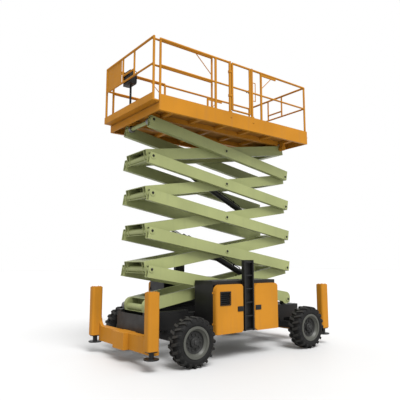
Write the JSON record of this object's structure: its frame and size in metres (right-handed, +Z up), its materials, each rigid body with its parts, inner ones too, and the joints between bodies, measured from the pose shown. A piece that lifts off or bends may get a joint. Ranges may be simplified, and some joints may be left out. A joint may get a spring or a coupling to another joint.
{
  "type": "rough terrain scissor lift",
  "caption": "Four-wheeled scissor lift with olive arm stack, orange railed platform with roll-out deck, side boxes, ladders, steered front wheels and upright levelling jacks.",
  "frame": {"origin": "on the ground below the middle of the machine", "axes": "+X towards the front (the roll-out deck), +Y to the machine's left, +Z up"},
  "size_m": [4.315, 2.47, 5.3948],
  "materials": {
    "orange_paint": "satin",
    "deck_plate": "worn satin",
    "olive_paint": "satin",
    "black_paint": "satin",
    "rod_steel": "polished",
    "plain_steel": "dull",
    "engine_iron": "matt",
    "tank_plastic": "matt",
    "rim_paint": "satin",
    "tyre_rubber": "matt",
    "control_plastic": "matt"
  },
  "bodies": {
    "chassis": {"chassis_frame": "black_paint", "cross_members": "black_paint", "jack_beams": "orange_paint", "axle_front": "black_paint", "axle_rear": "black_paint", "side_boxes": "black_paint", "ladders": "black_paint", "engine": "engine_iron", "tank": "tank_plastic"},
    "knuckle_left": {"knuckle_left": "black_paint"},
    "knuckle_right": {"knuckle_right": "black_paint"},
    "tie_rod": {"tie_rod": "plain_steel"},
    "wheel_front_left": {"rim_front_left": "rim_paint", "tyre_front_left": "tyre_rubber"},
    "wheel_front_right": {"rim_front_right": "rim_paint", "tyre_front_right": "tyre_rubber"},
    "wheel_rear_left": {"rim_rear_left": "rim_paint", "tyre_rear_left": "tyre_rubber"},
    "wheel_rear_right": {"rim_rear_right": "rim_paint", "tyre_rear_right": "tyre_rubber"},
    "jack_leg_front_left": {"jack_leg_front_left": "plain_steel"},
    "jack_leg_front_right": {"jack_leg_front_right": "plain_steel"},
    "jack_leg_rear_left": {"jack_leg_rear_left": "plain_steel"},
    "jack_leg_rear_right": {"jack_leg_rear_right": "plain_steel"},
    "door_front_left": {"door_front_left": "orange_paint"},
    "door_front_right": {"door_front_right": "orange_paint"},
    "door_rear_left": {"door_rear_left": "orange_paint"},
    "door_rear_right": {"door_rear_right": "orange_paint"},
    "outer_1": {"outer_1": "olive_paint"},
    "inner_1": {"inner_1": "olive_paint", "rollers_low": "plain_steel"},
    "outer_2": {"outer_2": "olive_paint"},
    "inner_2": {"inner_2": "olive_paint"},
    "outer_3": {"outer_3": "olive_paint"},
    "inner_3": {"inner_3": "olive_paint"},
    "outer_4": {"outer_4": "olive_paint"},
    "inner_4": {"inner_4": "olive_paint"},
    "outer_5": {"outer_5": "olive_paint", "rollers_top": "plain_steel"},
    "inner_5": {"inner_5": "olive_paint"},
    "barrel_low": {"barrel_low": "black_paint"},
    "rod_low": {"rod_low": "rod_steel"},
    "barrel_high": {"barrel_high": "black_paint"},
    "rod_high": {"rod_high": "rod_steel"},
    "platform": {"platform_skirts": "orange_paint", "platform_beams": "orange_paint", "platform_deck": "deck_plate", "rails_left": "orange_paint", "rails_right": "orange_paint", "rails_rear": "orange_paint"},
    "extension": {"extension_deck": "deck_plate", "front_rails": "orange_paint", "front_side_rails": "orange_paint", "control_box": "control_plastic"},
    "gate": {"gate": "orange_paint"}
  },
  "joints": [
    {"name": "lift", "type": "hinge", "parent": "chassis", "child": "outer_1", "pos_m": [-1.57998, 0, 0.865], "axis": [0, -1, 0], "range_deg": [-7, 26]},
    {"name": "cross_1", "type": "hinge", "parent": "outer_1", "child": "inner_1", "pos_m": [0.0775, 0, 1.18718], "axis": [0, -1, 0], "range_deg": [-52.05, 14.05]},
    {"name": "step_1", "type": "hinge", "parent": "inner_1", "child": "outer_2", "pos_m": [-1.57998, 0, 1.50936], "axis": [0, -1, 0], "range_deg": [-14.05, 52.05]},
    {"name": "cross_2", "type": "hinge", "parent": "outer_2", "child": "inner_2", "pos_m": [0.0775, 0, 1.83154], "axis": [0, -1, 0], "range_deg": [-52.05, 14.05]},
    {"name": "step_2", "type": "hinge", "parent": "inner_2", "child": "outer_3", "pos_m": [-1.57998, 0, 2.15372], "axis": [0, -1, 0], "range_deg": [-14.05, 52.05]},
    {"name": "cross_3", "type": "hinge", "parent": "outer_3", "child": "inner_3", "pos_m": [0.0775, 0, 2.47591], "axis": [0, -1, 0], "range_deg": [-52.05, 14.05]},
    {"name": "step_3", "type": "hinge", "parent": "inner_3", "child": "outer_4", "pos_m": [-1.57998, 0, 2.79809], "axis": [0, -1, 0], "range_deg": [-14.05, 52.05]},
    {"name": "cross_4", "type": "hinge", "parent": "outer_4", "child": "inner_4", "pos_m": [0.0775, 0, 3.12027], "axis": [0, -1, 0], "range_deg": [-52.05, 14.05]},
    {"name": "step_4", "type": "hinge", "parent": "inner_4", "child": "outer_5", "pos_m": [-1.57998, 0, 3.44245], "axis": [0, -1, 0], "range_deg": [-14.05, 52.05]},
    {"name": "cross_5", "type": "hinge", "parent": "outer_5", "child": "inner_5", "pos_m": [0.0775, 0, 3.76463], "axis": [0, -1, 0], "range_deg": [-52.05, 14.05]},
    {"name": "platform_level", "type": "hinge", "parent": "inner_5", "child": "platform", "pos_m": [-1.57998, 0, 4.08681], "axis": [0, -1, 0], "range_deg": [-7.05, 26.05]},
    {"name": "barrel_tilt_low", "type": "hinge", "parent": "inner_1", "child": "barrel_low", "pos_m": [-0.78437, 0, 1.35471], "axis": [0, -1, 0], "range_deg": [-16.77, 62.15]},
    {"name": "rod_slide_low", "type": "slide", "parent": "barrel_low", "child": "rod_low", "axis": [0.9019, 0, 0.4319], "range_m": [-0.3137, 1.1625]},
    {"name": "barrel_tilt_high", "type": "hinge", "parent": "inner_3", "child": "barrel_high", "pos_m": [-0.78437, 0, 2.64344], "axis": [0, -1, 0], "range_deg": [-16.77, 62.15]},
    {"name": "rod_slide_high", "type": "slide", "parent": "barrel_high", "child": "rod_high", "axis": [0.9019, 0, 0.4319], "range_m": [-0.3137, 1.1625]},
    {"name": "steer_left", "type": "hinge", "parent": "chassis", "child": "knuckle_left", "pos_m": [1.36598, 0.93, 0.39], "axis": [0, 0, 1], "range_deg": [-28, 28]},
    {"name": "steer_right", "type": "hinge", "parent": "chassis", "child": "knuckle_right", "pos_m": [1.36598, -0.93, 0.39], "axis": [0, 0, 1], "range_deg": [-28.05, 28.05]},
    {"name": "tie_rod_pin", "type": "hinge", "parent": "knuckle_left", "child": "tie_rod", "pos_m": [1.20598, 0.93, 0.39], "axis": [0, 0, 1], "range_deg": [-28.05, 28.05]},
    {"name": "spin_front_left", "type": "hinge", "parent": "knuckle_left", "child": "wheel_front_left", "pos_m": [1.36598, 1.1, 0.39], "axis": [0, 1, 0], "continuous": true},
    {"name": "spin_front_right", "type": "hinge", "parent": "knuckle_right", "child": "wheel_front_right", "pos_m": [1.36598, -1.1, 0.39], "axis": [0, 1, 0], "continuous": true},
    {"name": "spin_rear_left", "type": "hinge", "parent": "chassis", "child": "wheel_rear_left", "pos_m": [-1.36598, 1.1, 0.39], "axis": [0, 1, 0], "continuous": true},
    {"name": "spin_rear_right", "type": "hinge", "parent": "chassis", "child": "wheel_rear_right", "pos_m": [-1.36598, -1.1, 0.39], "axis": [0, 1, 0], "continuous": true},
    {"name": "jack_front_left", "type": "slide", "parent": "chassis", "child": "jack_leg_front_left", "axis": [0, 0, -1], "range_m": [0, 0.4]},
    {"name": "jack_front_right", "type": "slide", "parent": "chassis", "child": "jack_leg_front_right", "axis": [0, 0, -1], "range_m": [0, 0.4]},
    {"name": "jack_rear_left", "type": "slide", "parent": "chassis", "child": "jack_leg_rear_left", "axis": [0, 0, -1], "range_m": [0, 0.4]},
    {"name": "jack_rear_right", "type": "slide", "parent": "chassis", "child": "jack_leg_rear_right", "axis": [0, 0, -1], "range_m": [0, 0.4]},
    {"name": "door_front_left", "type": "hinge", "parent": "chassis", "child": "door_front_left", "pos_m": [0.87398, 1.003, 0.845], "axis": [0, 0, 1], "range_deg": [-90, 0]},
    {"name": "door_front_right", "type": "hinge", "parent": "chassis", "child": "door_front_right", "pos_m": [0.87398, -1.003, 0.845], "axis": [0, 0, 1], "range_deg": [0, 90]},
    {"name": "door_rear_left", "type": "hinge", "parent": "chassis", "child": "door_rear_left", "pos_m": [-0.63098, 1.003, 0.845], "axis": [0, 0, 1], "range_deg": [0, 90]},
    {"name": "door_rear_right", "type": "hinge", "parent": "chassis", "child": "door_rear_right", "pos_m": [-0.63098, -1.003, 0.845], "axis": [0, 0, 1], "range_deg": [-90, 0]},
    {"name": "deck_slide", "type": "slide", "parent": "platform", "child": "extension", "axis": [1, 0, 0], "range_m": [0, 0.9]},
    {"name": "gate_swing", "type": "hinge", "parent": "platform", "child": "gate", "pos_m": [0.313, 0.854, 4.86181], "axis": [0, 0, 1], "range_deg": [0, 90]}
  ],
  "couplings": [
    {"joint": "cross_1", "follows": "lift", "ratio": -2},
    {"joint": "step_1", "follows": "lift", "ratio": 2},
    {"joint": "cross_2", "follows": "lift", "ratio": -2},
    {"joint": "step_2", "follows": "lift", "ratio": 2},
    {"joint": "cross_3", "follows": "lift", "ratio": -2},
    {"joint": "step_3", "follows": "lift", "ratio": 2},
    {"joint": "cross_4", "follows": "lift", "ratio": -2},
    {"joint": "step_4", "follows": "lift", "ratio": 2},
    {"joint": "cross_5", "follows": "lift", "ratio": -2},
    {"joint": "platform_level", "follows": "lift", "ratio": 1},
    {"joint": "barrel_tilt_low", "follows": "lift", "ratio": 2.3885},
    {"joint": "rod_slide_low", "follows": "lift", "m_per_rad": 2.5597},
    {"joint": "barrel_tilt_high", "follows": "lift", "ratio": 2.3885},
    {"joint": "rod_slide_high", "follows": "lift", "m_per_rad": 2.5597},
    {"joint": "steer_right", "follows": "steer_left", "ratio": 1},
    {"joint": "tie_rod_pin", "follows": "steer_left", "ratio": -1}
  ]
}
